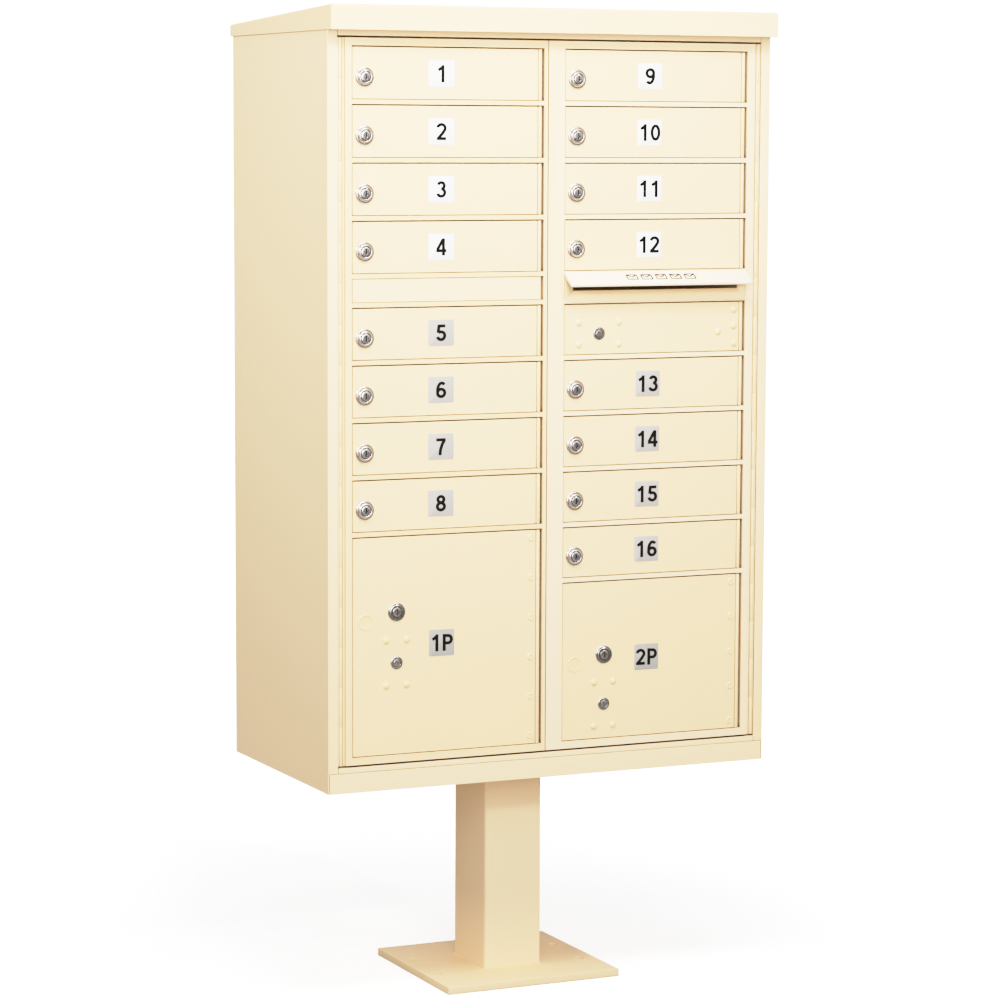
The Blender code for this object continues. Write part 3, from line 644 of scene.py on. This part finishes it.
def glyph_strokes():
    """Bold upright figures as the middle lines of their strokes, one unit high and GLYPH_WIDTH wide."""
    six = [arc(0.31, 0.32, 0.21, 0.22, 0, 360), arc(0.345, 0.42, 0.245, 0.48, 180, 52)]
    nine = [[(GLYPH_WIDTH - x, 1 - y) for x, y in stroke] for stroke in six]
    bowl = [(0.11, 0.9), *arc(0.34, 0.68, 0.19, 0.22, 90, -90), (0.11, 0.46)]
    two = [*arc(0.3, 0.7, 0.215, 0.215, 170, -25), (0.36, 0.4), (0.13, 0.13)]
    return {
        "0": [arc(0.31, 0.5, 0.215, 0.4, 0, 360)],
        "1": [[(0.38, 0), (0.38, 1)], [(0.36, 0.87), (0.12, 0.7)]],
        "2": [two, [(0.03, 0.1), (0.57, 0.1)]],
        "3": [arc(0.29, 0.715, 0.18, 0.185, 165, -90), arc(0.29, 0.315, 0.21, 0.215, 90, -165)],
        "4": [[(0.43, 0), (0.43, 1)], [(0.4, 0.93), (0.08, 0.34)], [(0.01, 0.28), (0.6, 0.28)]],
        "5": [[(0.55, 0.9), (0.18, 0.9), (0.13, 0.5)], arc(0.3, 0.33, 0.215, 0.23, 135, -165)],
        "6": six,
        "7": [[(0.03, 0.9), (0.58, 0.9)], [(0.52, 0.88), (0.39, 0.66), (0.29, 0.36), (0.25, 0)]],
        "8": [arc(0.31, 0.72, 0.175, 0.18, 0, 360), arc(0.31, 0.31, 0.21, 0.21, 0, 360)],
        "9": nine,
        "P": [[(0.11, 0), (0.11, 1)], bowl],
    }


def add_ribbon(bm, points, width, low, high):
    """A flat bar of even width along a path in X and Y, from one height to another."""
    points = [Vector((x, y, 0)) for x, y in points]
    ways = [(after - before).normalized() for before, after in zip(points, points[1:])]
    closed = (points[0] - points[-1]).length < width / 10
    first, last = (ways[-1], ways[0]) if closed else (ways[0], ways[-1])
    rows = []
    for index, point in enumerate(points):
        before = ways[index - 1] if index else first
        after = ways[index] if index < len(ways) else last
        along = (before + after).normalized()
        side = Vector((-along.y, along.x, 0)) * (width / 2 / max(MITRE_LIMIT, along.dot(after)))
        corners = (point - side, point + side)
        rows.append([bm.verts.new(corner + Vector((0, 0, z))) for z in (low, high) for corner in corners])
    order = (0, 1, 3, 2)
    for row, following in zip(rows, rows[1:]):
        for near, far in zip(order, order[1:] + order[:1]):
            bm.faces.new([row[near], row[far], following[far], following[near]])
    for row in (rows[0], rows[-1]):
        bm.faces.new([row[corner] for corner in order])


def add_stroke(bm, points, width, thickness, order):
    """A printed stroke, a little thicker than the one before it, so that no two faces lie in one plane."""
    add_ribbon(bm, points, width, -thickness, thickness * (1 + order / 10))


def number_mesh(text):
    """Bold figures as a thin mesh, centred on the origin and upright in X and Z."""
    advance = GLYPH_WIDTH + GLYPH_SPACE
    strokes = [
        [(x + place * advance, y) for x, y in stroke]
        for place, glyph in enumerate(text)
        for stroke in GLYPHS[glyph]
    ]
    bm = bmesh.new()
    for order, stroke in enumerate(strokes):
        add_stroke(bm, stroke, GLYPH_STROKE, INK_THICKNESS / DIGIT_HEIGHT, order)
    width = advance * len(text) - GLYPH_SPACE
    size = Matrix.Diagonal((DIGIT_HEIGHT * DIGIT_STRETCH, DIGIT_HEIGHT, DIGIT_HEIGHT, 1))
    bm.transform(facing(0, 0, 0) @ size @ Matrix.Translation((-width / 2, -0.5, 0)))
    return applied(object_from("number_" + text, bm, INK))


def add_placard(door, text, centre, size, material):
    """A thin plate with round corners, and the figures printed on it."""
    bm = bmesh.new()
    half = Vector((size[0] / 2, 0, size[1] / 2))
    low = Vector((centre.x, FACE - PLACARD_THICKNESS, centre.z)) - half
    high = Vector((centre.x, FACE + PLACARD_THICKNESS, centre.z)) + half
    add_box(bm, low, high)
    upright = [
        edge for edge in bm.edges if abs(edge.verts[0].co.y - edge.verts[1].co.y) > PLACARD_THICKNESS
    ]
    bevel(bm, upright, PLACARD_CORNER, 4)
    rim = [edge for edge in bm.edges if all(vert.co.y < FACE for vert in edge.verts)]
    bevel(bm, rim, PLACARD_THICKNESS * 0.3, 2)
    plate = object_from(door + "_placard", bm, material)
    digits = linked(door + "_number", number_mesh(text), (centre.x, FACE - PLACARD_THICKNESS, centre.z))
    for piece in (plate, digits):
        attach(piece, door)


# ---------------------------------------------------------------- doors of each kind


def build_tenant_doors():
    bezel = bezel_mesh("tenant_bezel", TENANT_BEZEL, CHROME)
    plug = plug_mesh("tenant_plug", TENANT_PLUG, *cam_limits("tenant_lock_01"), CHROME)
    for number in range(1, 17):
        door, lock = f"tenant_door_{number:02}", f"tenant_lock_{number:02}"
        build_small_door(door, [(JOINTS[lock + "_turn"], TENANT_SEAT)])
        add_lock(lock, door, bezel, plug)
        left, top = opening_corner(door)
        centre = Vector((left + PLACARD_CENTRE[0], 0, top - PLACARD_CENTRE[1]))
        material = WHITE_FOIL if number in WHITE_PLACARDS else GREY_FOIL
        add_placard(door, str(number), centre, PLACARD, material)


def rivets_round(centre, half_x, half_z):
    return [(centre.x + x, centre.z + z) for x in (-half_x, half_x) for z in (-half_z, half_z)]


def hinge_rivet_places(left, top, height):
    """Evenly spaced places down the hinge side of a parcel door's opening."""
    spaces = round(height / PARCEL_RIVET_SPACING)
    step = (height - 2 * PARCEL_RIVET_MARGIN) / spaces
    first = top - PARCEL_RIVET_MARGIN
    return [(left + HINGE_RIVETS, first - step * index) for index in range(spaces + 1)]


def build_parcel_doors():
    """Both parcel doors. Returns the small locks' bezel, which the outgoing mail door also has."""
    bezel = bezel_mesh("parcel_bezel", PARCEL_BEZEL, NICKEL)
    plug = plug_mesh("parcel_plug", PARCEL_PLUG, *cam_limits("parcel_lock_1"), NICKEL)
    small_bezel = bezel_mesh("small_bezel", SMALL_BEZEL, DARK_NICKEL)
    small_plug = plug_mesh("carrier_plug", SMALL_PLUG, *cam_limits("carrier_lock_1"), DARK_NICKEL)
    for number in (1, 2):
        door, lock, carrier = f"parcel_door_{number}", f"parcel_lock_{number}", f"carrier_lock_{number}"
        left, top = opening_corner(door)
        low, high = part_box(door)
        edge_rivets = hinge_rivet_places(left, top, high.z - low.z + 2 * DOOR_GAP)
        centre = JOINTS[carrier + "_turn"]
        locks = [(JOINTS[lock + "_turn"], PARCEL_SEAT), (centre, SMALL_SEAT)]
        discs = [(left + PARCEL_DISC[0], top - PARCEL_DISC[1])]
        build_small_door(door, locks, rivets_round(centre, *LOCK_RIVETS), edge_rivets, discs)
        add_lock(lock, door, bezel, plug)
        add_lock(carrier, door, small_bezel, small_plug)
        middle = Vector((left + PARCEL_PLACARD_CENTRE, 0, (low.z + high.z) / 2))
        add_placard(door, f"{number}P", middle, PARCEL_PLACARD, DULL_FOIL)
    return small_bezel


def build_outgoing_door(bezel):
    door, lock = "outgoing_mail_door", "outgoing_mail_lock"
    left, top = opening_corner(door)
    centre = JOINTS[lock + "_turn"]
    half_z, half_x = LOCK_RIVETS
    rivets = rivets_round(centre, half_x, half_z)
    rivets += [(left + HINGE_RIVETS, top - below) for below in OUTGOING_RIVETS]
    rivets.append((left + OUTGOING_INNER_RIVET[0], top - OUTGOING_INNER_RIVET[1]))
    build_small_door(door, [(centre, SMALL_SEAT)], rivets)
    add_lock(lock, door, bezel, plug_mesh("outgoing_plug", SMALL_PLUG, *cam_limits(lock), DARK_NICKEL))


# ---------------------------------------------------------------- mail hood


def build_mail_hood():
    """The slanted canopy over the slot, folded from thin sheet with soft corners."""
    low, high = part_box("outgoing_mail_hood")
    bm = bmesh.new()
    add_box(bm, (low.x, low.y, 0), high)
    for vert in bm.verts:
        at_front = vert.co.y < (low.y + high.y) / 2
        upper = vert.co.z > high.z / 2
        drop = HOOD_FALL if at_front else 0
        hang = HOOD_LIP if at_front else HOOD_CHEEK
        vert.co.z = high.z - drop - (0 if upper else hang)
    bm.normal_update()
    open_faces = [face for face in bm.faces if face.normal.z < -0.7]
    bmesh.ops.delete(bm, geom=open_faces, context="FACES_ONLY")
    folds = [edge for edge in bm.edges if len(edge.link_faces) == 2]
    bevel(bm, folds, HOOD_FOLD, 4)
    # Painted light: the hood gets a paler coat than the cabinet, standing in for the bright light on its
    # top.
    hood = object_from("mail_hood_sheet", bm, HOOD_COAT_PAINTED_LIGHT)
    solidify(hood, HOOD_SHEET)
    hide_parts("outgoing_mail_hood")
    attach(hood, "right_master")
    slope = math.atan2(HOOD_FALL, high.y - low.y)
    middle = ((low.x + high.x) / 2 + ENVELOPE_SHIFT, (low.y + high.y) / 2, high.z - HOOD_FALL / 2)
    build_pictogram(middle, slope)


def build_pictogram(middle, slope):
    """A row of plain envelopes, printed where letters are posted."""
    bm = bmesh.new()
    half_x, half_y = ENVELOPE[0] / 2, ENVELOPE[1] / 2
    corners = [(-half_x, -half_y), (half_x, -half_y), (half_x, half_y), (-half_x, half_y)]
    flap = [(-half_x, half_y), (0, -ENVELOPE_FLAP * half_y), (half_x, half_y)]
    paths = [*zip(corners, corners[1:] + corners[:1]), flap]
    for place in ENVELOPE_PLACES:
        for order, path in enumerate(paths):
            moved = [(x + place * ENVELOPE_SPACING, y) for x, y in path]
            add_stroke(bm, moved, ENVELOPE_LINE, INK_THICKNESS, order)
    print_piece = object_from("mail_hood_pictogram", bm, GREY_INK)
    print_piece.matrix_world = Matrix.Translation(middle) @ Matrix.Rotation(slope, 4, "X")
    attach(print_piece, "right_master")


def build_slot_cover():
    """The thin plate round the slot, which also covers the rail below it."""
    low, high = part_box("mail_slot_panel")
    front = FRONT - COVER_THICKNESS
    bm = bmesh.new()
    foot = low.z - SLOT_RAIL
    add_rounded_box(bm, (low.x, front, foot), (high.x, FRONT - GAP / 20, high.z), COVER_THICKNESS * 0.4)
    slot = bmesh.new()
    slot_low = Vector((low.x + SLOT_END, front - GAP, low.z + SLOT_BOTTOM))
    slot_high = Vector((high.x - SLOT_END, FRONT + GAP, slot_low.z + SLOT_HEIGHT))
    add_rounded_box(slot, slot_low, slot_high, GAP / 2)
    cover = cut(object_from("mail_slot_cover", bm, COAT), object_from("slot", slot, COAT))
    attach(cover, "right_master")


# ---------------------------------------------------------------- hinges and pedestal


def build_master_hinge(node_name, master, leaf_side):
    """Knuckles on one pin, every second one on the cabinet and the rest on the master door."""
    low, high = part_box(node_name)
    pin = JOINTS[master + "_swing"]
    pitch = (high.z - low.z) / HINGE_KNUCKLES
    leaf_edge = high.x if leaf_side > 0 else low.x
    for body, start in (("cabinet", 0), (master, 1)):
        bm = bmesh.new()
        for index in range(start, HINGE_KNUCKLES, 2):
            place = Matrix.Translation((pin.x, pin.y, low.z + index * pitch + GAP / 4))
            rounded_rod(bm, place, HINGE_RADIUS, pitch - GAP / 2, KNUCKLE_END / 2)
        if body == "cabinet":
            near, far = sorted((pin.x + leaf_side * HINGE_RADIUS * LEAF_START, leaf_edge))
            add_rounded_box(bm, (near, pin.y - LEAF_FRONT, low.z), (far, high.y, high.z), GAP)
        piece = object_from(f"{master}_hinge_on_{body}", bm, COAT)
        if body == "cabinet":
            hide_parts(node_name)
        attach(piece, body)


def rounded_rectangle(half_x, half_y, radius):
    """Points round a rectangle with round corners, counter-clockwise."""
    points = []
    for turn, (sign_x, sign_y) in enumerate(((1, 1), (-1, 1), (-1, -1), (1, -1))):
        centre = Vector((sign_x * (half_x - radius), sign_y * (half_y - radius)))
        for index in range(CORNER_STEPS + 1):
            angle = math.pi / 2 * (turn + index / CORNER_STEPS)
            points.append(centre + radius * Vector((math.cos(angle), math.sin(angle))))
    return points


def loft(bm, middle, levels):
    """Joins rounded rectangles, given as (half x, half y, radius, height), into one closed skin."""
    rings = []
    for half_x, half_y, radius, height in levels:
        outline = rounded_rectangle(half_x, half_y, radius)
        rings.append([bm.verts.new((middle.x + p.x, middle.y + p.y, height)) for p in outline])
    for lower, upper in zip(rings, rings[1:] + rings[:1]):
        for index in range(len(lower)):
            after = (index + 1) % len(lower)
            bm.faces.new([lower[index], lower[after], upper[after], upper[index]])


def build_post():
    """The tube, hollow and open at both ends, and the weld bead round its foot."""
    low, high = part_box("pedestal_post")
    middle = (low + high) / 2
    half_x, half_y = (high.x - low.x) / 2, (high.y - low.y) / 2
    outside = [(half_x, half_y, POST_ROUND, z) for z in (low.z, high.z)]
    inner_round = POST_ROUND - POST_WALL / 2
    inside = [(half_x - POST_WALL, half_y - POST_WALL, inner_round, z) for z in (high.z, low.z)]
    tube = bmesh.new()
    loft(tube, middle, outside + inside)
    post = object_from("pedestal_post_tube", tube, COAT)
    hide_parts("pedestal_post")
    bead = bmesh.new()
    loft(bead, middle, weld_levels(half_x, half_y, low.z - GAP))
    weld = object_from("pedestal_weld", bead, COAT)
    for piece in (post, weld):
        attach(piece, "cabinet")


def weld_levels(half_x, half_y, foot):
    """The hollow curve of the bead from its foot up to the post, and the way back down inside the post."""
    levels = []
    for index in range(WELD_STEPS + 1):
        angle = math.pi / 2 * index / WELD_STEPS
        grow = WELD * (1 - math.sin(angle))
        height = foot + WELD * (1 - math.cos(angle))
        levels.append((half_x + grow, half_y + grow, POST_ROUND + grow, height))
    top = levels[-1][3]
    return levels + [(half_x - GAP, half_y - GAP, POST_ROUND, height) for height in (top, foot)]


def build_base_plate():
    low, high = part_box("anchor_base_plate")
    middle = (low + high) / 2
    bm = bmesh.new()
    add_rounded_box(bm, low, high, PLATE_CHAMFER, 3)
    plate = object_from("base_plate", bm, COAT)
    depth = high.z - low.z
    wide = ANCHOR_RADIUS + PLATE_CHAMFER
    profile = [(0, -GAP), (ANCHOR_RADIUS, -GAP), (ANCHOR_RADIUS, depth - PLATE_CHAMFER)]
    profile += [(wide, depth), (wide, depth + GAP), (0, depth + GAP)]
    half_x, half_y = (spacing / 2 for spacing in ANCHOR_SPACING)
    holes = bmesh.new()
    for x in (-half_x, half_x):
        for y in (middle.y - half_y, middle.y + half_y):
            lathe(holes, profile, Matrix.Translation((x, y, low.z)), unit=1)
    plate = cut(plate, object_from("holes", holes, COAT))
    plate.data.shade_smooth()
    plate.data.set_sharp_from_angle(angle=math.radians(30))
    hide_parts("anchor_base_plate")
    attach(plate, "cabinet")


# ---------------------------------------------------------------- cabinet and the rest


def keep_cad_nodes():
    for name in COATED_NODES:
        soften(name, COAT)
    for name in RACK_NODES:
        soften(name, SHELF_COAT, EDGE / 2)
    soften("master_latch", ZINC)


# ---------------------------------------------------------------- studio


def build_floor():
    bm = bmesh.new()
    bmesh.ops.create_circle(bm, cap_ends=True, segments=64, radius=FLOOR_RADIUS)
    floor = object_from("floor", bm, studio_floor())


def build_world():
    world = bpy.data.worlds.new("studio")
    scene.world = world
    world.use_nodes = True
    tree = world.node_tree
    background = tree.nodes["Background"]
    background.inputs["Color"].default_value = (1, 1, 1, 1)
    path = tree.nodes.new("ShaderNodeLightPath")
    reflected = tree.nodes.new("ShaderNodeMapRange")
    reflected.inputs["To Min"].default_value = AMBIENT
    reflected.inputs["To Max"].default_value = AMBIENT + REFLECTED
    tree.links.new(path.outputs["Is Glossy Ray"], reflected.inputs["Value"])
    strength = tree.nodes.new("ShaderNodeMapRange")
    strength.inputs["To Max"].default_value = FILM_WHITE * BACKDROP
    tree.links.new(reflected.outputs["Result"], strength.inputs["To Min"])
    tree.links.new(path.outputs["Is Camera Ray"], strength.inputs["Value"])
    tree.links.new(strength.outputs["Result"], background.inputs["Strength"])


def add_light(name, kind, location, target, energy, **settings):
    light = bpy.data.lights.new(name, kind)
    light.energy = energy
    for key, value in settings.items():
        setattr(light, key, value)
    obj = bpy.data.objects.new(name, light)
    obj.location = location
    obj.rotation_euler = (Vector(target) - Vector(location)).to_track_quat("-Z", "Y").to_euler()
    scene.collection.objects.link(obj)


def build_lights():
    azimuth, elevation = (math.radians(angle) for angle in SUN_FROM)
    level = math.cos(elevation)
    sun_from = Vector((math.sin(azimuth) * level, -math.cos(azimuth) * level, math.sin(elevation)))
    add_light("key", "SUN", SUN_DISTANCE * sun_from, (0, 0, 0), SUN, angle=math.radians(SUN_SIZE))
    for name, place, target, energy, (width, height), spread in SOFTBOXES:
        shape = {"shape": "RECTANGLE", "size": width, "size_y": height, "spread": math.radians(spread)}
        add_light(name, "AREA", place, target, energy, **shape)


def build_camera():
    data = bpy.data.cameras.new("camera")
    data.lens = CAMERA_LENS
    data.sensor_width = CAMERA_SENSOR
    camera = bpy.data.objects.new("camera", data)
    heading = Matrix.Rotation(math.radians(CAMERA_HEADING), 4, "Z")
    tilt = Matrix.Rotation(math.radians(90 - CAMERA_FALL), 4, "X")
    roll = Matrix.Rotation(math.radians(CAMERA_ROLL), 4, "Z")
    camera.matrix_world = Matrix.Translation(CAMERA_PLACE) @ heading @ tilt @ roll
    scene.collection.objects.link(camera)
    scene.camera = camera


def set_film():
    """A film-like shoulder, which turns the coat's brightest parts nearly white."""
    view = scene.view_settings
    view.view_transform = "Standard"
    view.look = "None"
    view.use_curve_mapping = True
    mapping = view.curve_mapping
    mapping.white_level = (FILM_WHITE,) * 3
    combined = mapping.curves[COMBINED_CURVE]
    for light, shown in FILM:
        combined.points.new(light / FILM_WHITE, shown)
    mapping.update()


GLYPHS = glyph_strokes()
COAT = powder_coat("cream_coat", (0.955, 0.625, 0.33), 0.42)
# Painted light: a paler copy of the cream coat for the mail hood, standing in for its brightly lit top.
HOOD_COAT_PAINTED_LIGHT = powder_coat("hood_coat_painted_light", (0.965, 0.76, 0.53), 0.46)
SHELF_COAT = powder_coat("shelf_coat", (0.8, 0.59, 0.32), 0.5)
CHROME = plated("bright_chrome", (0.68, 0.62, 0.58), 0.12, 0.3)
NICKEL = plated("nickel", (0.48, 0.435, 0.39), 0.16, 0.35)
DARK_NICKEL = plated("dark_nickel", (0.5, 0.46, 0.42), 0.18, 0.35)
ZINC = plated("zinc_plate", (0.55, 0.55, 0.54), 0.35, 0.5)
WHITE_FOIL = printed("white_label", (0.93, 0.93, 0.92), 0.35)
GREY_FOIL = printed("grey_label", (0.44, 0.41, 0.38), 0.35)
DULL_FOIL = printed("dull_label", (0.38, 0.36, 0.33), 0.35)
INK = printed("black_ink", (0.005, 0.0035, 0.0025), 0.4)
GREY_INK = printed("grey_ink", (0.05, 0.05, 0.055), 0.5)

keep_cad_nodes()
build_tenant_doors()
small_bezel = build_parcel_doors()
build_outgoing_door(small_bezel)
build_mail_hood()
build_slot_cover()
build_master_hinge("left_master_hinge", "left_master", -1)
build_master_hinge("right_master_hinge", "right_master", 1)
build_post()
build_base_plate()
build_floor()
build_world()
build_lights()
build_camera()
set_film()
